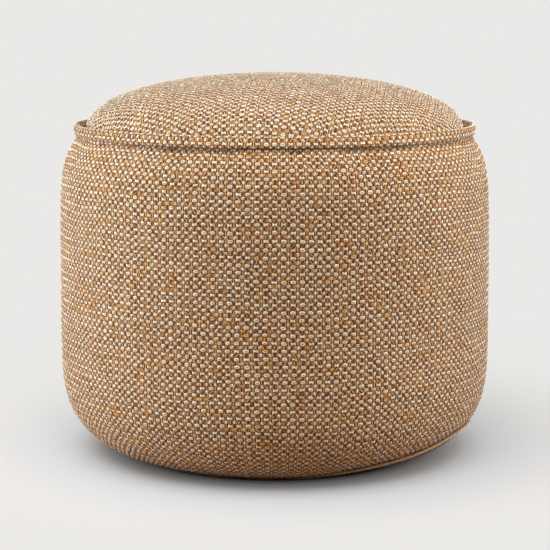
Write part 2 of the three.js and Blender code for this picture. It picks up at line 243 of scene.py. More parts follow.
# %% [markdown]
# ## The weave
# The cloth repeats every 9.5 by 8.3 mm. Each repeat shows a broad float of pale rope, a smaller
# pale knot half a repeat away, and ochre and rust yarns that dive into gaps between them, which
# are coloured dark as painted shade. A float, a knot or a yarn is a small dome in the repeat; the
# cloth's height is the highest dome. Each yarn is itself a bundle of two or three strands, which
# lie a little askew in every repeat.

# %% The weave's domes
CELL_HEIGHT = 8.3
CELLS_ROUND = 168

# Each dome: its centre in the repeat, its half width and half height, and how far it stands up
DOMES = {
    "float": (0.0, 0.0, 0.31, 0.28, 1.0),
    "knot": (0.5, 0.5, 0.22, 0.225, 0.85),
    "under": (0.0, 0.5, 0.31, 0.23, 0.6),
    "between": (0.5, 0.0, 0.14, 0.29, 0.55),
}


def dome(name, u, v):
    """Where a place lies in its dome: across and along it, from -1 to 1, and the dome's cell."""
    centre_u, centre_v, half_width, half_height, _ = DOMES[name]
    cell_u, cell_v = floor_of(u - centre_u + 0.5), floor_of(v - centre_v + 0.5)
    across, along = (u - centre_u - cell_u) / half_width, (v - centre_v - cell_v) / half_height
    return across, along, cell_u, cell_v


def inside_of(across, along):
    """1 at a dome's centre, falling to 0 at its rounded edge and below 0 outside."""
    across_squared, along_squared = across * across, along * along
    return 1 - across_squared * across_squared - along_squared * along_squared


def weave_height(u, v):
    """The height of the cloth at a place, from 0 in a gap to 1 on a float."""
    height = 0.0
    for name, (_, _, _, _, lift) in DOMES.items():
        across, along, _, _ = dome(name, u, v)
        height = larger(root_of(larger(inside_of(across, along), 0.0)) * lift, height)
    return height


# %% [markdown]
# ## Cloth colours
# Outdoor rope is dyed in the yarn, so each strand has one colour and neighbours differ. A cell
# number and a strand number feed a white noise, and its value picks the strand's colour.

# %% Yarns and their colours
CREAM, STRAW = colour(255, 243, 220), colour(250, 218, 177)
OCHRE, RUST = colour(232, 174, 102), colour(196, 124, 70)
# The gap colour is painted shadow: the dark seen between the yarns, where the weave's inside lies in
# shade
BROWN, WEAVE_GAP_SHADOW = colour(124, 72, 38), colour(34, 18, 9)

# How far the yarns wander from their places, in repeats
STIR = 0.2

# For each dome: how its strands lie, the two sizes that such strands take, and the colours they
# may have, each with the share of the strands at which it starts. The arms have no dome: they
# are thin strands that slant between the float and the knots.
YARNS = {
    "under": ("upright", 1.4, 0.9, ((0.0, BROWN), (0.35, RUST), (0.65, OCHRE))),
    "between": ("upright", 0.9, 0.7, ((0.0, RUST), (0.3, OCHRE), (0.8, BROWN))),
    "arms": ("folded", 0.07, 0.28, ((0.0, OCHRE), (0.45, RUST), (0.8, STRAW))),
    "knot": ("upright", 0.7, 0.6, ((0.0, CREAM), (0.45, STRAW), (0.9, OCHRE))),
    "float": ("crossed", 1.95, 0.5, ((0.0, CREAM), (0.5, STRAW), (0.96, OCHRE))),
}
ARM_LIFT = 0.75


# %% Strands
def upright_strands(across, along, half_count, slant, chance):
    """Strands side by side that lean by chance: how near an edge a place is, and its strand."""
    strand = across * half_count + along * (chance * (2 * slant) - slant) + 0.5
    number = floor_of(strand)
    return (strand - number - 0.5).maths("ABSOLUTE") * 2.0, number


def crossed_strands(across, along, sharpness, spread, chance):
    """Two strands that cross, or part round a small hole, by chance."""
    crossing, parting = across * spread, spread - across * across * spread
    bend = crossing + chance.maths("GREATER_THAN", 0.5) * (parting - crossing)
    above, below = (along - bend).maths("ABSOLUTE"), (along + bend).maths("ABSOLUTE")
    return smaller(above, below) * sharpness, above.maths("LESS_THAN", below)


def folded_arms(u, v, half_width, half_length):
    """Thin slanting strands from the float's corners to the knots, folded so that one makes all."""
    near_u, near_v = u.maths("PINGPONG", 0.5), v.maths("PINGPONG", 0.5)
    across, along = (near_u - near_v) / half_width, (near_u + near_v - 0.5) / half_length
    return across, along, floor_of(u * 2.0), floor_of(v * 2.0)


# %% Woven cloth material
# Steps of this share never fall on the same colour twice in a row
GOLDEN_SHARE = 0.382
# How far out on a strand the groove beside it starts, and how fast and how far it deepens and
# darkens with painted shade
GROOVE_FROM, GROOVE_SLOPE, GROOVE_DARKEST = 0.45, 1.6, 0.85
# How dark the painted shadow in a seam is, and how much lighter it gets for each unit of seam_gap
SEAM_SHADOW_DARKEST, SEAM_SHADOW_SLOPE = 0.06, 0.5
# Strands and fibres are too fine for the mesh, so a bump of this many mm carries them
BUMP_DEPTH, FIBRE_SHARE = 1.1, 0.25
THREAD_STEP = 2.4


def woven_cloth(name, tint=(1, 1, 1), bound_edge=0.0):
    """Rope cloth, patterned by the piece's own map, in which one unit is one repeat. Painted shade
    darkens its grooves between strands and its edges towards the seam, and a bound edge is that
    many mm of slanting overcast thread."""
    paint = Paint(name, Roughness=0.85, Specular_IOR_Level=0.15, Sheen_Weight=0.12)
    flat = paint.node("ShaderNodeUVMap", {"uv_map": "weave"})
    stir = paint.node("ShaderNodeTexNoise", None, flat, output="Color", Scale=1.6, Detail=1.0)
    stir = paint.node("ShaderNodeVectorMath", {"operation": "MULTIPLY_ADD"}, stir,
                      (STIR, STIR, 0), (-STIR / 2, -STIR / 2, 0))
    place = paint.node("ShaderNodeVectorMath", {"operation": "ADD"}, flat, stir)
    u, v, _ = paint.split(place)
    shade, height = WEAVE_GAP_SHADOW, 0.0
    for dome_name, (lay, *sizes, choices) in YARNS.items():
        if lay == "folded":
            across, along, cell_u, cell_v = folded_arms(u, v, *sizes)
            lift, rim, number = ARM_LIFT, across.maths("ABSOLUTE"), 0.0
        else:
            across, along, cell_u, cell_v = dome(dome_name, u, v)
            lift = DOMES[dome_name][4]
        inside = inside_of(across, along)
        seat = paint.node("ShaderNodeCombineXYZ", None, cell_u, cell_v, lift)
        chance = paint.chance(seat)
        if lay != "folded":
            strands = crossed_strands if lay == "crossed" else upright_strands
            rim, number = strands(across, along, *sizes, chance)
        pick = (number * GOLDEN_SHARE + chance * 5.0).maths("FRACT")
        tone = paint.ramp(pick, choices)
        # The groove beside each strand sinks in the bump and darkens the colour with painted shade
        groove_and_shade = smaller(larger(rim - GROOVE_FROM, 0.0) * GROOVE_SLOPE, GROOVE_DARKEST)
        tone = paint.scaled(tone, 1 - groove_and_shade)
        shade = paint.mix(clamped(inside * 2.5), shade, tone)
        rise = root_of(larger(inside, 0.0)) * lift
        height = larger(rise * (1 - groove_and_shade * 0.6), height)
    streaks = paint.grain(1.0, 3.0, paint.scaled_by(place, (0.04, 0.8, 1.0)))
    columns = paint.grain(1.0, 3.0, paint.scaled_by(place, (0.8, 0.03, 1.0)))
    shade = paint.scaled(shade, streaks * 0.14 + columns * 0.12 + 0.87)
    shade = paint.scaled_by(shade, tint)
    gap = paint.layer("seam_gap")
    if bound_edge:
        way = paint.layer("seam_way")
        slant = ((way + gap) * (2 * math.pi / THREAD_STEP)).maths("SINE") * 0.5 + 0.5
        thread = paint.mix(slant, RUST, STRAW)
        shade = paint.mix(clamped((bound_edge - gap) * 2.0), shade, thread)
        height = height + slant * 0.2
    fibres = paint.grain(9.0, 3.0, place)
    painted_seam_shadow = smaller(larger(gap, 0.0) * SEAM_SHADOW_SLOPE + SEAM_SHADOW_DARKEST, 1.0)
    shade = paint.scaled(shade, (fibres * 0.9 + 0.55) * painted_seam_shadow)
    bump = paint.bump(1.0, BUMP_DEPTH, height + fibres * FIBRE_SHARE)
    return paint.finish(Base_Color=shade, Normal=bump)


cloth_side = woven_cloth("woven_side_cloth")
# The top's cloth is a paler, cooler copy of the side's: painted sheen for the light from above
cloth_top_painted_sheen = woven_cloth("woven_top_cloth_painted_sheen", (1.0, 1.06, 1.14))
cloth_base = woven_cloth("woven_base_cloth", (1.0, 0.8, 0.62), bound_edge=4.0)
print("woven materials:", cloth_side.name, cloth_top_painted_sheen.name, cloth_base.name)

# %% [markdown]
# ## The cover's outline
# Seen from the side, the cover is one curve from the middle of the base to the neck: flat, then a
# full rounded corner, then a nearly upright side that turns in under the flange. The curve is
# worked out once, and each panel takes its own stretch of it.

# %% The outline
BELLY_RADIUS, BELLY_HEIGHT = 255.0, 137.0
BASE_FLAT_RADIUS, BASE_SEAM_RADIUS = 152.3, 191.8
NECK_RADIUS, NECK_HEIGHT = 232.7, 372.0
CROWN_FOOT_RADIUS, CROWN_HEIGHT = 222.5, 446.0
SIDE_TAPER = 2.5
BRIM_HEIGHT = 375.3
# How far the outline turns in and up past the neck, and is straight on each side of the seam
NECK_TURN_IN, SEAM_FACET = 0.4, 16.0
# How full each curve is, as powers of its share
CORNER_REACH_POWER, CORNER_RISE_POWER, SHOULDER_POWER = 1.109, 0.571, 10
BASE_POINTS, CORNER_POINTS, SIDE_POINTS = 60, 240, 400
SMALL_TURN = 0.001


def corner_place(turn):
    """(radius, height) on the rounded corner, from the flat base to the belly."""
    reach = np.sin(turn) ** CORNER_REACH_POWER
    rise = 1 - np.maximum(0, np.cos(turn)) ** CORNER_RISE_POWER
    return np.stack([BASE_FLAT_RADIUS + (BELLY_RADIUS - BASE_FLAT_RADIUS) * reach,
                     BELLY_HEIGHT * rise], -1)


def side_place(height):
    """(radius, height) on the side, from the belly to the neck."""
    share = (height - BELLY_HEIGHT) / (NECK_HEIGHT - BELLY_HEIGHT)
    turned_in = (BELLY_RADIUS - SIDE_TAPER - NECK_RADIUS) * share ** SHOULDER_POWER
    return np.stack([BELLY_RADIUS - SIDE_TAPER * share - turned_in, height], -1)


def lengths_along(places):
    """How far each place lies along the line through them all."""
    steps = np.linalg.norm(np.diff(places, axis=0), axis=1)
    return np.concatenate([[0], np.cumsum(steps)])


seam_share = (BASE_SEAM_RADIUS - BASE_FLAT_RADIUS) / (BELLY_RADIUS - BASE_FLAT_RADIUS)
seam_turn = math.asin(seam_share ** (1 / CORNER_REACH_POWER))
small_step = np.linalg.norm(corner_place(seam_turn + SMALL_TURN) - corner_place(seam_turn))
facet_turn = SEAM_FACET * (SMALL_TURN / small_step)
outline = np.concatenate([
    [[0, 0]],
    corner_place(np.linspace(0, seam_turn - facet_turn, BASE_POINTS)),
    corner_place(np.linspace(seam_turn + facet_turn, math.pi / 2, CORNER_POINTS)),
    side_place(np.linspace(BELLY_HEIGHT, NECK_HEIGHT, SIDE_POINTS))[1:],
    [[NECK_RADIUS - NECK_TURN_IN, BRIM_HEIGHT + NECK_TURN_IN]],
])
outline_lengths = lengths_along(outline)


def on_curve(length, places, lengths):
    """(radius, height) at a length along a curve through those places."""
    return np.stack([np.interp(length, lengths, places[:, i]) for i in (0, 1)], -1)


def on_outline(length):
    """(radius, height) at a length along the cover's outline from the middle of the base."""
    return on_curve(length, outline, outline_lengths)


def length_at_height(height):
    """Length along the outline at a height above the base, from the straight stretch on."""
    return float(np.interp(height, outline[BASE_POINTS:, 1], outline_lengths[BASE_POINTS:]))


half_facet = np.linalg.norm(outline[BASE_POINTS + 1] - outline[BASE_POINTS]) / 2
SEAM_LENGTH = float(outline_lengths[BASE_POINTS] + half_facet)
NECK_LENGTH = float(outline_lengths[-1])
print("outline:", round(NECK_LENGTH, 1), "mm, base seam at", on_outline(SEAM_LENGTH).round(1))

# %% [markdown]
# ## The base seam
# The base is sewn in by hand and sits a little askew: at the right the seam climbs the side, where
# a narrow band of the base shows under a dark line, and at the left it hides underneath. Along the
# back it runs level, because the zip is sewn into it.

# %% The base seam's course
# Height of the seam at angles round the pouf, from the front towards the right
SEAM_HEIGHTS = [(-180, None), (-112, None), (-90, 5), (-60, 4.4), (-20, 3.2), (0, 4.2), (10, 8),
                (20, 16), (30, 20.5), (40, 25), (50, 31), (58, 38), (68, 42), (80, 39),
                (95, 27), (108, 14), (118, None), (180, None)]
# Degrees from the front past which the seam is level, and how many are smoothed together
LEVEL_FROM, SMOOTHED_TOGETHER = 119, 5
# The zip's opening: half its arc and the rounding of its ends in degrees, and its width in mm
ZIP_HALF_ARC, ZIP_END_ROUNDING, ZIP_WINDOW = 60.7, 1.6, 14.0

course_angles = np.arange(-180, 180.01, 1.0)
course_keys = [SEAM_LENGTH if h is None else length_at_height(h) for _, h in SEAM_HEIGHTS]
course = np.interp(course_angles, [a for a, _ in SEAM_HEIGHTS], course_keys)
for _ in range(3):
    weights = np.ones(SMOOTHED_TOGETHER) / SMOOTHED_TOGETHER
    whole_round = np.concatenate([course[-6:-1], course, course[1:6]])
    smooth = np.convolve(whole_round, weights, "same")[5:-5]
    course = np.where(np.abs(course_angles) > LEVEL_FROM, course, smooth)


def seam_course(angle):
    """Length along the outline at which the base seam lies, by degrees from the front."""
    return np.interp(angle, course_angles, course)


def zip_opening(angle):
    """Share from 0 to 1 by which the zip holds the two panels apart, with rounded ends."""
    from_back = 180 - np.abs(angle)
    inside = np.clip((ZIP_HALF_ARC - from_back) / ZIP_END_ROUNDING, 0, 1)
    return np.sqrt(1 - (1 - inside) ** 2)


print("seam height at the right:", on_outline(seam_course(90.0)).round(1))

# %% [markdown]
# ## Making a woven panel
# A spin turns an outline into a ring with one face to each repeat of the weave, and its outer
# faces are then cut into six by six: a spin of the fine rows would take minutes. Layers on the
# vertices remember where each lies along the outline and how deep in the cloth. By them each
# vertex is moved to its true place, and the weave's relief is pressed in, so that the rope stands
# up in the outline as well as in the shading.

# %% Spin a ring of cloth
STEPS_PER_CELL = 6


def mesh_from(shape, name):
    """The bmesh as a mesh with smooth faces."""
    mesh = bpy.data.meshes.new(name)
    shape.to_mesh(mesh)
    shape.free()
    mesh.polygons.foreach_set("use_smooth", [True] * len(mesh.polygons))
    return mesh


def spun(name, rows):
    """A closed ring spun from rows of (radius, height, length, depth, lift, ring), in mm. Its depth
    is 0 on the face, lift is how much relief it takes, and ring goes from 0 to 1 round it."""
    shape = bmesh.new()
    layers = [shape.verts.layers.float.new(label) for label in ("length", "depth", "lift", "ring")]
    depth = layers[1]
    verts = []
    for radius, height, *values in rows:
        vert = shape.verts.new((radius * MM, 0, height * MM))
        for layer, value in zip(layers, values):
            vert[layer] = value
        verts.append(vert)
    edges = [shape.edges.new(pair) for pair in zip(verts, verts[1:] + verts[:1])]
    bmesh.ops.spin(shape, geom=verts + edges, cent=(0, 0, 0), axis=(0, 0, 1),
                   angle=2 * math.pi, steps=CELLS_ROUND, use_merge=True)
    bmesh.ops.recalc_face_normals(shape, faces=shape.faces)
    outer = {edge for face in shape.faces if all(vert[depth] == 0 for vert in face.verts)
             for edge in face.edges}
    bmesh.ops.subdivide_edges(shape, edges=list(outer), cuts=STEPS_PER_CELL - 1, use_grid_fill=True)
    return mesh_from(shape, name)


# %% Read and write a mesh
def read(items, label, kind=np.float32, width=1):
    """What each vertex, corner or face has under a label, in one long row."""
    found = np.zeros(len(items) * width, kind)
    items.foreach_get(label, found)
    return found


def values_of(mesh, label):
    return read(mesh.attributes[label].data, "value").astype(float)


def places_of(mesh):
    return read(mesh.vertices, "co", width=3).reshape(-1, 3).astype(float)


def put_places(mesh, places):
    mesh.vertices.foreach_set("co", places.astype(np.float32).ravel())
    mesh.update()


def set_values(mesh, label, values):
    layer = mesh.attributes.new(label, "FLOAT", "POINT")
    layer.data.foreach_set("value", values.astype(np.float32))


def normals_of(mesh):
    return read(mesh.vertex_normals, "vector", width=3).reshape(-1, 3).astype(float)


def degrees_from_front(places):
    """Angle round the pouf, from the front towards the right, from -180 to 180."""
    return np.degrees(np.arctan2(places[:, 0], -places[:, 1]))


def laid_round(radius, turn, height):
    """Places in metres, from a radius and height in mm and a turn from the front in radians."""
    return np.stack([radius * np.sin(turn), -radius * np.cos(turn), height], -1) * MM


# %% Give a mesh its maps
# The OFBake map: its margin, the height of the band that half a ring takes, and their step
MAP_MARGIN, BAND_HEIGHT, BAND_STEP = 0.003, 0.491, 0.502


def corners_of(mesh):
    """The vertex of each face corner, where each face's corners start, and how many it has."""
    corners = read(mesh.loops, "vertex_index", np.int32)
    firsts = read(mesh.polygons, "loop_start", np.int32)
    return corners, firsts, np.diff(np.append(firsts, len(corners)))


def add_map(mesh, name, u, v):
    layer = mesh.uv_layers.new(name=name)
    layer.data.foreach_set("uv", np.stack([u, v], -1).astype(np.float32).ravel())


def map_cloth(mesh, u, v, turn=None):
    """Gives the mesh its weave map. turn is how many repeats a full round adds to u."""
    corners, firsts, counts = corners_of(mesh)
    corner_u, corner_v = u[corners], v[corners]
    if turn:
        largest = np.repeat(np.maximum.reduceat(corner_u, firsts), counts)
        corner_u = np.where(largest - corner_u > turn / 2, corner_u + turn, corner_u)
    add_map(mesh, "weave", corner_u, corner_v)


def map_ring(mesh, angle):
    """The OFBake map: the ring's two halves, one above the other."""
    corners, firsts, counts = corners_of(mesh)
    angle, ring = angle[corners], values_of(mesh, "ring")[corners]
    spread = np.maximum.reduceat(ring, firsts) - np.minimum.reduceat(ring, firsts)
    ring = np.where(np.repeat(spread > 0.5, counts) & (ring < 0.5), 1.0, ring)
    right = np.repeat(np.add.reduceat(np.sin(np.radians(angle)), firsts) > 0, counts)
    angle = np.where(right & (angle < -90), angle + 360, angle)
    angle = np.where(~right & (angle > 90), angle - 360, angle)
    u = np.clip(np.where(right, angle, angle + 180) / 180, 0, 1)
    v = BAND_HEIGHT * ring + np.where(right, 0, BAND_STEP)
    add_map(mesh, "OFBake", MAP_MARGIN + (1 - 2 * MAP_MARGIN) * u, MAP_MARGIN + v)


# %% Press the weave in, and make the piece
# How far in mm the rope stands up, and the share of the weave's height that stays where it was
ROPE_RELIEF, RELIEF_MIDDLE = 1.0, 0.55


def press_relief(mesh, u, v, lift):
    """Moves the cloth's face out by the weave's height, and in at its gaps."""
    height = (weave_height(u, v) - RELIEF_MIDDLE) * lift * ROPE_RELIEF * MM
    put_places(mesh, places_of(mesh) + normals_of(mesh) * height[:, None])


def piece(name, mesh, material, slot, *nodes):
    """The mesh as a piece of the cover, standing for those CAD nodes."""
    mesh.materials.append(material)
    made = put_in_scene(name, mesh)
    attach(made, "cover")
    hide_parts(*nodes)
    print(name, len(mesh.polygons), "faces")


# %% Unevenness
# Lumps round the pouf, and the height in mm over which one leans by up to a radian
LUMPS_ROUND, LEAN_OVER = (2, 3, 5, 7, 11), 60
# The yarns wander by about this many repeats, in waves between these lengths in metres
WANDER, WANDER_WAVES, SHORTEST_WAVE, LONGEST_WAVE = 0.09, 14, 0.03, 0.16


def unevenness(places, size, seed):
    """Gentle lumps of a hand-filled drum, in mm, the same on each run."""
    angle = np.arctan2(places[:, 1], places[:, 0])
    height = places[:, 2] / MM
    total = np.zeros(len(places))
    rng = np.random.default_rng(seed)
    for waves in LUMPS_ROUND:
        phase, lean = rng.uniform(0, 2 * math.pi), rng.uniform(-1, 1)
        total += np.sin(waves * angle + phase + lean * height / LEAN_OVER) / waves
    return total * size


def wander(places, seed):
    """Small wanderings of the yarns, in repeats: a sum of waves in random directions."""
    rng = np.random.default_rng(seed)
    total = np.zeros(len(places))
    for _ in range(WANDER_WAVES):
        wavelength = rng.uniform(SHORTEST_WAVE, LONGEST_WAVE)
        heading = rng.normal(size=3)
        heading *= 2 * math.pi / wavelength / np.linalg.norm(heading)
        total += np.sin(places @ heading + rng.uniform(0, 2 * math.pi))
    return total * WANDER / math.sqrt(WANDER_WAVES / 2)


# %% [markdown]
# ## Side panel
# One strip of cloth goes round the drum. Its rows run level, so the strip is mapped by angle and
# by length along the outline. The edges turn in at both seams, and with a painted shadow along
# each seam this draws the dark line of the seam. A single upright join at the back closes the
# strip.

# %% Spin the side panel
CLOTH_THICKNESS = 3.0
STRIP_LENGTH = NECK_LENGTH - SEAM_LENGTH

side_rows = round(STRIP_LENGTH / CELL_HEIGHT)
face_stations = [(k, 0.0, 1.0, 0.94 * k) for k in np.linspace(0, 1, side_rows + 1)]
back_stations = [(k, CLOTH_THICKNESS, 0.0, 0.99 - 0.04 * k)
                 for k in np.linspace(1, 0, side_rows // 2)]
side_mesh = spun("woven_side", [
    (*on_outline(length) - (depth, 0), length, depth, lift, ring)
    for share, depth, lift, ring in face_stations + back_stations
    for length in [SEAM_LENGTH + share * STRIP_LENGTH]
])

# %% The tucks at its edges
# Degrees from the front up to which the flange is pressed back, and from which it stands free
FLANGE_PRESSED, FLANGE_FREE = 38.0, 68.0
# Degrees from the front within which the base seam shows
SEAM_SHOWS = 112
# Half of the space between two edges at a seam, in mm
SEAM_HALF_GAP = 0.2
# How wide and how deep the cloth turns in at each edge of the side, in mm
LOW_TUCK_WIDTH, LOW_TUCK = 3.8, 3.0
NECK_TUCK_WIDTH, NECK_TUCK = 3.5, 0.5
# The upright join at the back: its depth in mm, half its width in degrees, and how soon it starts
JOIN_DEPTH, JOIN_HALF_WIDTH, JOIN_START = 1.4, 0.5, 20
LOOK_AHEAD, SMALLEST = 0.5, 1e-4


def towards_front(angle):
    """1 in front, where the flange is pressed back, falling to 0 at the sides."""
    share = np.clip((FLANGE_FREE - np.abs(angle)) / (FLANGE_FREE - FLANGE_PRESSED), 0, 1)
    return share ** 2 * (3 - 2 * share)


def hump(distance, width):
    """1 at a distance of 0, and nearly 0 from twice the width on."""
    return np.exp(-(distance / width) ** 2)


def inside_outline(length, depth):
    """(radius, height) at a length along the outline and a depth below it, in mm."""
    spot, ahead = on_outline(length), on_outline(length + LOOK_AHEAD)
    step = np.maximum(np.linalg.norm(ahead - spot, axis=1), SMALLEST)
    along = (ahead - spot) / step[:, None]
    inward = np.stack([-along[:, 1], along[:, 0]], -1)
    return spot + inward * depth[:, None]


# %% The painted shadow of its seams
# A painted shadow darkens the cloth where the layer seam_gap is below about 2. The layer rises
# with each mm from the base seam or the neck, and starts higher where the seam is out of view and
# along the zip
GAP_FROM_LOW, GAP_OUT_OF_VIEW, GAP_AT_ZIP = 0.33, 1, 9
GAP_FROM_NECK, GAP_AT_NECK, GAP_LOST_IN_FRONT = 0.35, 3, 2.4


def neck_gap(distance, slope, angle):
    """The seam gap at a distance in mm from the neck: the painted crease shadow is darkest in front.
    """
    return slope * distance + GAP_AT_NECK - GAP_LOST_IN_FRONT * towards_front(angle)


def side_gap(length, low, angle):
    gap = GAP_FROM_LOW * (length - low) + np.where(np.abs(angle) < SEAM_SHOWS, 0, GAP_OUT_OF_VIEW)
    gap = gap + GAP_AT_ZIP * zip_opening(angle)
    return np.minimum(gap, neck_gap(NECK_LENGTH - length, GAP_FROM_NECK, angle))


# %% Side panel
def settle_side(mesh):
    """Moves the strip's vertices to their true course between the two seams."""
    places = places_of(mesh)
    angle = degrees_from_front(places)
    share = (values_of(mesh, "length") - SEAM_LENGTH) / STRIP_LENGTH
    opening = zip_opening(angle)
    low = seam_course(angle) + SEAM_HALF_GAP + (ZIP_WINDOW / 2 - SEAM_HALF_GAP) * opening
    length = low + share * (NECK_LENGTH - low)
    # seam_gap sets the painted shadow along both seams
    set_values(mesh, "seam_gap", side_gap(length, low, angle))
    near_low = hump(length - low, LOW_TUCK_WIDTH) * (1 - opening)
    near_neck = hump(NECK_LENGTH - length, NECK_TUCK_WIDTH)
    tuck = LOW_TUCK * near_low + (NECK_TUCK + towards_front(angle)) * near_neck
    join = JOIN_DEPTH * hump(180 - np.abs(angle), JOIN_HALF_WIDTH)
    join = join * np.clip(share * JOIN_START, 0, 1)
    spot = inside_outline(length, values_of(mesh, "depth") + tuck + join)
    bulge = unevenness(places, size=0.5, seed=5) * np.sin(np.pi * np.clip(share, 0, 1))
    put_places(mesh, laid_round(spot[:, 0] + bulge, np.radians(angle), spot[:, 1]))
    return angle, length


side_angle, side_length = settle_side(side_mesh)
side_places = places_of(side_mesh)
side_u = side_angle / 360 * CELLS_ROUND + wander(side_places, seed=1)
side_v = (side_length - SEAM_LENGTH) / CELL_HEIGHT + wander(side_places, seed=2)
map_cloth(side_mesh, side_u, side_v, CELLS_ROUND)
map_ring(side_mesh, side_angle)
press_relief(side_mesh, side_u, side_v, values_of(side_mesh, "lift"))
piece("woven_side", side_mesh, cloth_side, "woven_side", "side_panel")

# %% [markdown]
# ## Standing flange
# The side strip and the top are sewn together through a folded strip that stands up round the
# rim. It is a hairpin: an outer face, a round fold and an inner face that drops into the groove.

# %% Spin the flange
FLANGE_HEIGHT = 12.4
# (radius, height) of the outer face's foot, the outer end of the fold and the inner face's foot
FLANGE_FOOT, FLANGE_FACE, FLANGE_INNER_FOOT = (232.2, 374.2), (236.4, 383.7), (226.7, 375.2)
FLANGE_UNDERSIDE = (229.5, 374.2)
# The fold's radius, and how many points the face and the fold have
FLANGE_HALF, FACE_POINTS, FOLD_POINTS = 4.0, 12, 8


def flange_outline():
    """The hairpin from its outer foot over the fold to its inner foot, and its lengths."""
    rise = np.linspace(0, 1, FACE_POINTS)
    outer = np.stack([
        FLANGE_FOOT[0] + (FLANGE_FACE[0] - FLANGE_FOOT[0]) * (1 - (1 - rise) ** 3),
        FLANGE_FOOT[1] + (FLANGE_FACE[1] - FLANGE_FOOT[1]) * rise,
    ], -1)
    turns = np.linspace(0, math.pi, FOLD_POINTS + 1)[1:]
    fold = np.stack([FLANGE_FACE[0] - FLANGE_HALF + FLANGE_HALF * np.cos(turns),
                     FLANGE_FACE[1] + FLANGE_HALF * np.sin(turns)], -1)
    places = np.concatenate([outer, fold, [FLANGE_INNER_FOOT]])
    return places, lengths_along(places)


flange_places, flange_lengths = flange_outline()


def on_flange(length):
    return on_curve(length, flange_places, flange_lengths)


flange_rows = [(*on_flange(length), length, 0.0, 1.0, 0.96 * length / flange_lengths[-1])
               for length in np.linspace(0, flange_lengths[-1], 6)]
flange_mesh = spun("woven_flange", flange_rows + [(*FLANGE_UNDERSIDE, 0.0, 1.0, 0.0, 0.98)])

# %% Standing flange
# In front the flange leans back against the crown, and bulges above its crease
LEAN_BACK = 5.6
BULGE = FLANGE_FACE[0] - FLANGE_FOOT[0]
# It stands a little further in than its outline, and is lumpy towards its top
FLANGE_INSET, FLANGE_LUMPS = 0.4, 0.4
# How fast the painted crease shadow on the flange lightens, for each mm from its foot
GAP_FROM_CREASE = 0.5


def settle_flange(mesh):
    """Moves the hairpin's vertices to where it leans, and returns those places too, in metres."""
    places = places_of(mesh)
    angle = degrees_from_front(places)
    length = values_of(mesh, "length")
    underside = values_of(mesh, "depth") > 0.5
    spot = np.where(underside[:, None], FLANGE_UNDERSIDE, on_flange(length))
    up_share = np.clip((spot[:, 1] - BRIM_HEIGHT) / FLANGE_HEIGHT, 0, 1)
    rise = np.clip((spot[:, 1] - FLANGE_FOOT[1]) / (FLANGE_FACE[1] - FLANGE_FOOT[1]), 0, 1)
    outer = (length < flange_lengths[FACE_POINTS - 1] + 0.01) & ~underside
    bulge = np.where(outer, BULGE * ((1 - rise) ** 3 - (1 - rise) ** 6), 0)
    radius = spot[:, 0] + unevenness(places, FLANGE_LUMPS, seed=11) * up_share - FLANGE_INSET
    radius += bulge - towards_front(angle) * LEAN_BACK * up_share
    height = spot[:, 1] + unevenness(places, FLANGE_LUMPS, seed=12) * up_share
    laid = laid_round(radius, np.radians(angle), height)
    put_places(mesh, laid)
    return laid, angle, length, up_share


flange_laid, flange_angle, flange_length, up_share = settle_flange(flange_mesh)
flange_u = flange_angle / 360 * CELLS_ROUND + wander(flange_laid, seed=1)
flange_v = flange_length / CELL_HEIGHT + STRIP_LENGTH / CELL_HEIGHT
map_cloth(flange_mesh, flange_u, flange_v, CELLS_ROUND)
map_ring(flange_mesh, flange_angle)
set_values(flange_mesh, "seam_gap", neck_gap(flange_length, GAP_FROM_CREASE, flange_angle))
press_relief(flange_mesh, flange_u, flange_v, np.clip(up_share * 4, 0, 0.8))
piece("woven_flange", flange_mesh, cloth_side, "woven_side", "rim_flange")

# %% [markdown]
# ## Crowned top and base
# Both are round pieces cut from straight cloth, so their weave is a plain grid that doesn't turn
# with the edge. A grid is pulled into a disc, which keeps its squares even, and then laid over
# the crown's outline. A coarser disc behind it, joined to it round the edge, gives the cloth its
# thickness.

# %% A disc of cloth
CELL_WIDTH = 2 * math.pi * BELLY_RADIUS / CELLS_ROUND
BACK_SEGMENTS = 60
# On the OFBake map: the radii of the face, its edge and the back, and the back's middle
FACE_ON_MAP, EDGE_ON_MAP, BACK_ON_MAP, BACK_MIDDLE = 0.47, 0.485, 0.08, 0.085


def disc_mesh(name, segments, faces_down):
    """A fine disc and a coarse one behind it, joined round their edges."""
    shape = bmesh.new()
    depth = shape.verts.layers.float.new("depth")
    for cuts, deep in ((segments, 0.0), (BACK_SEGMENTS, 1.0)):
        for vert in bmesh.ops.create_grid(shape, x_segments=cuts, y_segments=cuts, size=1)["verts"]:
            vert[depth] = deep
            vert.co.z = -deep * MM
    bmesh.ops.bridge_loops(shape, edges=[edge for edge in shape.edges if edge.is_boundary])
    bmesh.ops.recalc_face_normals(shape, faces=shape.faces)
    if faces_down:
        bmesh.ops.reverse_faces(shape, faces=shape.faces)
    mesh = mesh_from(shape, name)
    # A square's rows are drawn in towards its corners, which rounds it off
    places = places_of(mesh)
    x, y = places[:, 0].copy(), places[:, 1].copy()
    places[:, 0], places[:, 1] = x * np.sqrt(1 - y * y / 2), y * np.sqrt(1 - x * x / 2)
    put_places(mesh, places)
    return mesh


def map_disc(mesh, share, turn):
    """The OFBake map: the face in its middle and the back in a corner."""
    corners, firsts, counts = corners_of(mesh)
    deep = values_of(mesh, "depth")[corners]
    wholly_deep = np.repeat(np.minimum.reduceat(deep, firsts) > 0.5, counts)
    radius = np.where(wholly_deep, BACK_ON_MAP * share[corners],
                      np.where(deep > 0.5, EDGE_ON_MAP, FACE_ON_MAP * share[corners]))
    middle = np.where(wholly_deep, BACK_MIDDLE, 0.5)
    u, v = radius * np.sin(turn[corners]), radius * np.cos(turn[corners])
    add_map(mesh, "OFBake", middle + u, middle + v)


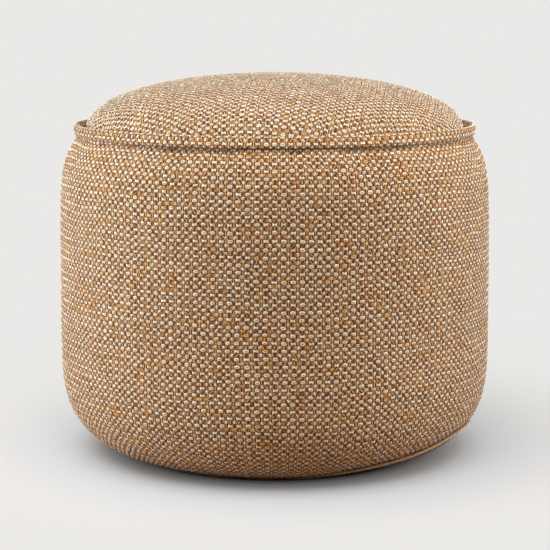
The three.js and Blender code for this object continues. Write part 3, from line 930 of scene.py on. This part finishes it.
def round_panel(name, segments, faces_down, curve_of, grid_turn, lift_of, seed):
    """A disc laid over a curve. curve_of gives its radius, height, length and seam gap by angle
    and share, and lift_of its relief by length."""
    mesh = disc_mesh(name, segments, faces_down)
    places = places_of(mesh)
    share = np.linalg.norm(places[:, :2], axis=1)
    turn = np.arctan2(places[:, 0], -places[:, 1])
    radius, height, length, gap = curve_of(np.degrees(turn), share)
    laid = laid_round(radius, turn, height)
    put_places(mesh, laid)
    # seam_gap sets the painted shadow at the panel's edge
    set_values(mesh, "seam_gap", gap)
    set_values(mesh, "seam_way", turn * BELLY_RADIUS)
    u = length * np.sin(turn + grid_turn) / CELL_WIDTH + wander(laid, seed)
    v = -length * np.cos(turn + grid_turn) / CELL_HEIGHT + wander(laid, seed + 1)
    map_cloth(mesh, u, v)
    map_disc(mesh, share, turn)
    depth = values_of(mesh, "depth") * CLOTH_THICKNESS * MM
    put_places(mesh, laid + normals_of(mesh) * depth[:, None])
    press_relief(mesh, u, v, np.where(depth > 0, 0, lift_of(length)))
    return mesh


print("a repeat of the weave is", round(CELL_WIDTH, 2), "by", CELL_HEIGHT, "mm")

# %% Crowned top
# How full the crown is, as powers of its share, and its edge, which is sewn in under the flange
CROWN_RISE_POWER, CROWN_REACH_POWER = 2.4, 0.5
CROWN_EDGE = (NECK_RADIUS - 0.6, BRIM_HEIGHT - 0.2)

crown_shares = np.linspace(1, 0, 500)
crown_curve = np.stack([
    CROWN_FOOT_RADIUS * np.maximum(0, 1 - crown_shares ** CROWN_RISE_POWER) ** CROWN_REACH_POWER,
    BRIM_HEIGHT + (CROWN_HEIGHT - BRIM_HEIGHT) * crown_shares,
], -1)
top_curve = np.concatenate([crown_curve, [CROWN_EDGE]])
top_lengths = lengths_along(top_curve)


def top_curve_of(_, share):
    length = share * top_lengths[-1]
    spot = on_curve(length, top_curve, top_lengths)
    return spot[:, 0], spot[:, 1], length, top_lengths[-1] - length


def top_lift(length):
    """The relief ends within 4 mm of the crown's foot, where the groove hides it."""
    return np.clip((top_lengths[-2] - length) / 4, 0, 1)


top_mesh = round_panel("woven_top", 300, False, top_curve_of, math.radians(7), top_lift, seed=7)
piece("woven_top", top_mesh, cloth_top_painted_sheen, "woven_top", "top_panel")

# %% Base
# In mm: the width and depth of the tuck at its edge, and the height, width and place of the ridge
# of overcast thread
BASE_TUCK_WIDTH, BASE_TUCK = 1.1, 1.6
RIDGE_HEIGHT, RIDGE_WIDTH, RIDGE_FROM_EDGE = 1.3, 2.0, 3.2
# The base's relief where it stands, what it gains beyond, and over how many mm
PRESSED_LIFT, LIFT_GAINED, LIFT_OVER = 0.1, 0.7, 30


def base_curve_of(angle, share):
    opening = zip_opening(angle)
    edge = seam_course(angle) - SEAM_HALF_GAP - (ZIP_WINDOW / 2 - SEAM_HALF_GAP) * opening
    length = share * edge
    tuck = BASE_TUCK * hump(edge - length, BASE_TUCK_WIDTH) * (1 - opening)
    ridge = RIDGE_HEIGHT * hump(edge - length - RIDGE_FROM_EDGE, RIDGE_WIDTH)
    spot = inside_outline(length, tuck - ridge * (np.abs(angle) < SEAM_SHOWS))
    return spot[:, 0], spot[:, 1], length, edge - length


def base_lift(length):
    """The rope is pressed flat where the pouf stands on it."""
    return PRESSED_LIFT + LIFT_GAINED * np.clip((length - BASE_FLAT_RADIUS) / LIFT_OVER, 0, 1)


base_mesh = round_panel("woven_base", 240, True, base_curve_of, math.radians(3), base_lift, seed=17)
piece("woven_base", base_mesh, cloth_base, "woven_base", "base_panel")

# %% [markdown]
# ## Stitches
# Heavy pale thread holds the base to the side: slanting stitches show below the seam where it
# climbs at the right, and a straight row runs along each side of the zip. A stitch is a small
# sphere drawn out into a grain, and a matrix turns each copy along its row.

# %% Rows of stitches
STITCH_LONG, STITCH_THICK = 4.4, 1.4
# How far above the base seam each row lies, in mm along the cloth
BELOW_SEAM, BELOW_ZIP, ABOVE_ZIP = -1.5, -ZIP_WINDOW / 2 - 3.2, ZIP_WINDOW / 2 + 4.2
# Where the stitches are, in degrees from the front
FRONT_STITCHES = np.arange(8.0, 112.0, 1.35)
ZIP_STITCHES = np.concatenate([np.arange(119.0, 180.0, 1.3), np.arange(-179.7, -118.0, 1.3)])


def stitch_row(shape, angles, from_seam, slant, long, stand):
    """A row of stitches on the cover, by angle and by how far it lies above the base seam."""
    for angle in angles:
        length = float(seam_course(angle) + from_seam)
        spot, ahead = on_outline(length), on_outline(length + LOOK_AHEAD)
        rise = (ahead - spot) / np.linalg.norm(ahead - spot)
        turn = math.radians(angle)
        outward = Vector((math.sin(turn), -math.cos(turn), 0))
        sideways = Vector((math.cos(turn), math.sin(turn), 0))
        upward = outward * rise[0] + Vector((0, 0, rise[1]))
        proud = sideways.cross(upward)
        along = sideways * math.cos(slant) + upward * math.sin(slant)
        place = (outward * spot[0] + Vector((0, 0, spot[1])) + proud * stand) * MM
        half_thick, half_long = STITCH_THICK / 2 * MM, long / 2 * MM
        ways = Matrix([proud.cross(along) * half_thick, proud * half_thick, along * half_long])
        bmesh.ops.create_uvsphere(shape, u_segments=8, v_segments=6, radius=1,
                                  matrix=Matrix.Translation(place) @ ways.transposed().to_4x4())


# %% Stitches
stitches = bmesh.new()
stitch_row(stitches, FRONT_STITCHES, BELOW_SEAM, math.radians(38), long=STITCH_LONG, stand=1.5)
for from_seam in (BELOW_ZIP, ABOVE_ZIP):
    stitch_row(stitches, ZIP_STITCHES, from_seam, 0.0, long=STITCH_LONG - 0.8, stand=0.8)
stitch_mesh = mesh_from(stitches, "seam_stitches")
stitch_object = put_in_scene("seam_stitches", stitch_mesh)
thread = Paint("stitch_thread", Roughness=0.7, Sheen_Weight=0.2)
spread = thread.grain(700.0, 3.0, thread.place())
stitch_mesh.materials.append(thread.finish(
    Base_Color=thread.mix(spread, colour(214, 170, 116), colour(250, 232, 198)),
    Normal=thread.bump(0.6, 0.2, spread)))
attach(stitch_object, "cover")
print("faces in the stitches:", len(stitch_mesh.polygons))

# %% [markdown]
# ## Inside and zip
# The filling is hidden by the cover, and the zip is small and hard, so these keep their solids.
# Each gets a finish of its own: dull metal, moulded plastic, herringbone tape, cloth and foam.

# %% Soft and hard finishes
def soft_finish(name, tone, dark, scale, depth):
    """Cloth or foam with a grain that is so many mm deep."""
    paint = Paint(name, Roughness=0.95)
    grain = paint.grain(scale, 4.0, paint.place())
    return paint.finish(Base_Color=paint.mix(grain, dark, tone), Normal=paint.bump(0.6, depth, grain))


def tape_finish():
    """Herringbone tape: slanting ribs that change direction every 2 mm."""
    paint = Paint("zip_tape_cloth", Roughness=0.9, Sheen_Weight=0.2)
    x, y, z = paint.split(paint.place())
    zigzag = (z / (2 * MM)).maths("PINGPONG", 1.0)
    ribs = ((x + y) / (0.7 * MM) + zigzag * 3.0).maths("SINE") * 0.5 + 0.5
    shade = paint.mix(ribs, colour(50, 34, 24), colour(88, 64, 46))
    return paint.finish(Base_Color=shade, Normal=paint.bump(0.7, 0.2, ribs))


def hard_finish(name, tone, worn, metallic, roughness):
    """Metal or moulded plastic with fine scratches and a little wear."""
    paint = Paint(name, Metallic=metallic)
    place = paint.place()
    wear = paint.grain(180.0, 5.0, place)
    scratches = paint.bump(0.3, 0.05, paint.grain(900.0, 2.0, place))
    return paint.finish(Base_Color=paint.mix(wear, tone, worn), Normal=scratches,
                        Roughness=wear * 0.25 + (roughness - 0.12))


# %% Dress the other pieces
HARD = {
    "zip_teeth": ("zip_teeth_plastic", colour(62, 44, 32), colour(84, 62, 46), 0.0, 0.45),
    "zip_metal": ("zip_dark_metal", colour(112, 98, 82), colour(150, 134, 112), 1.0, 0.35),
}
SOFT = {
    "woven_base": ("bound_edge", colour(170, 120, 78), colour(110, 70, 42), 900.0, 0.5),
    "liner_cloth": ("liner_calico", colour(232, 226, 212), colour(205, 196, 178), 1500.0, 0.2),
    "wadding": ("polyester_wadding", colour(246, 244, 240), colour(222, 218, 210), 260.0, 1.0),
    "soft_foam": ("soft_foam", colour(236, 224, 180), colour(206, 190, 140), 1200.0, 0.4),
    "firm_foam": ("firm_foam", colour(206, 216, 222), colour(170, 184, 194), 1200.0, 0.4),
}
finishes = {"zip_tape": tape_finish()}
finishes.update({slot: hard_finish(*values) for slot, values in HARD.items()})
finishes.update({slot: soft_finish(*values) for slot, values in SOFT.items()})
slot_of = {part["node"]: part["material_slot"] for part in frame["record"]["subparts"]}
for node_name, node in frame["nodes"].items():
    if not node.hide_render:
        node.data.materials.clear()
        node.data.materials.append(finishes[slot_of[node_name]])
print("CAD nodes dressed:", sum(not node.hide_render for node in frame["nodes"].values()))

# %% [markdown]
# ## Floor and light
# A pale paper floor fades into a world of the same colour. Cool softboxes at the sides and warm
# ones above and at the right light the pouf and leave the floor out, as a studio's flags would.
# One broad sun lights the floor alone. For the light that it throws back on the pouf, the floor
# is a dull warm tone that the camera doesn't see.

# %% Floor
BACKDROP = colour(234, 233, 231)
FLOOR_BOUNCE = (0.54, 0.39, 0.3, 1.0)
# Near the pouf the paper is a cooler tone, painted shade that keeps its shadow grey
PAINTED_SHADE_PAPER = colour(222, 231, 242)
# In metres from the middle: where the paper glows with painted light that lifts its shadow,
# where its cooler painted shade tone ends, and where it fades out
GLOW, GLOW_FROM, GLOW_TO = 0.38, 0.172, 0.23
SHADE_TO, SHADE_FADE = 0.2, 0.15
FLOOR_END, FLOOR_FADE, FLOOR_RADIUS = 0.95, 0.35, 4.0


def floor_piece():
    """A round floor: paper for the camera and gloss, with a painted glow and a painted shade tone
    near the pouf, and a dull warm tone for the light.
    """
    shape = bmesh.new()
    bmesh.ops.create_circle(shape, cap_ends=True, radius=FLOOR_RADIUS, segments=96)
    mesh = mesh_from(shape, "floor")
    made = put_in_scene("floor", mesh)
    paint = Paint("floor_paper", Roughness=1.0, Specular_IOR_Level=0.0)
    x, y, _ = paint.split(paint.place())
    far = root_of(x * x + y * y)
    open_share = clamped((far - SHADE_TO) / SHADE_FADE)
    paint.finish(Base_Color=paint.mix(open_share, PAINTED_SHADE_PAPER, BACKDROP))
    near_share = clamped((FLOOR_END - far) / FLOOR_FADE)
    clear = paint.node("ShaderNodeBsdfTransparent")
    dull = paint.node("ShaderNodeBsdfDiffuse", None, FLOOR_BOUNCE)
    seen = paint.seen()
    body = paint.blend(seen, dull, paint.body)
    # A painted glow lifts the paper's shadow a little way out from the pouf
    painted_glow = paint.node("ShaderNodeEmission", None, BACKDROP)
    painted_glow_share = clamped((far - GLOW_FROM) / (GLOW_TO - GLOW_FROM)) * GLOW * seen
    body = paint.blend(near_share, clear, paint.blend(painted_glow_share, body, painted_glow))
    mesh.materials.append(paint.surface(body, "Material Output"))
    return made


floor = floor_piece()

# %% World
WORLD_LIGHT = 0.03


def world_light():
    """A world that the camera and gloss see as the backdrop, and that gives a little light."""
    paint = Paint("studio", "worlds", "Background", Color=BACKDROP)
    fill = paint.node("ShaderNodeBackground", None, (1, 1, 1, 1), WORLD_LIGHT)
    return paint.surface(paint.blend(paint.seen(), fill, paint.body), "World Output")


bpy.context.scene.world = world_light()
print("world:", bpy.context.scene.world.name)

# %% Lamps
def hang(name, data, place, target, floor_link):
    """Puts up a lamp, aimed at a point, that leaves the floor out or lights it alone."""
    made = put_in_scene(name, data)
    made.location = place
    made.rotation_mode = "QUATERNION"
    made.rotation_quaternion = (Vector(target) - Vector(place)).to_track_quat("-Z", "Y")
    receivers = bpy.data.collections.new(name + "_receivers")
    receivers.objects.link(floor)
    receivers.collection_objects[0].light_linking.link_state = floor_link
    made.light_linking.receiver_collection = receivers


def softbox(name, power, size, place, target, tint):
    data = bpy.data.lights.new(name, "AREA")
    data.energy, data.size, data.shape, data.color = power, size, "SQUARE", tint
    hang(name, data, place, target, "EXCLUDE")


def floor_lamp(name, strength, spread, place):
    data = bpy.data.lights.new(name, "SUN")
    data.energy, data.angle = strength, math.radians(spread)
    hang(name, data, place, (0, 0, 0), "INCLUDE")


DAYLIGHT, LAMPLIGHT = (0.97, 1.02, 1.08), (1.05, 0.94, 0.83)
# Each softbox: its power in watts, its size and place in metres, where it is aimed and its tint
SOFTBOXES = {
    "over_front": (9.8, 1.0, (0, -0.7, 1.6), (0, 0, 0.35), LAMPLIGHT),
    "from_left": (18.4, 0.8, (-1.22, -0.5, 0.68), (0, 0, 0.3), DAYLIGHT),
    "from_right": (12.0, 0.8, (1.22, -0.35, 0.84), (0, 0, 0.36), DAYLIGHT),
    "from_right_front": (6.2, 1.0, (0.95, -0.6, 1.2), (0, 0, 0.35), LAMPLIGHT),
}
for lamp_name, lamp in SOFTBOXES.items():
    softbox(lamp_name, *lamp)
floor_lamp("over_floor", strength=3.1, spread=62, place=(-0.12, -0.22, 1.0))

# %% [markdown]
# ## Size
# The dressed pouf keeps the CAD model's size, apart from the rope that stands proud.

# %% Bring the scene up to date
bpy.context.view_layer.update()
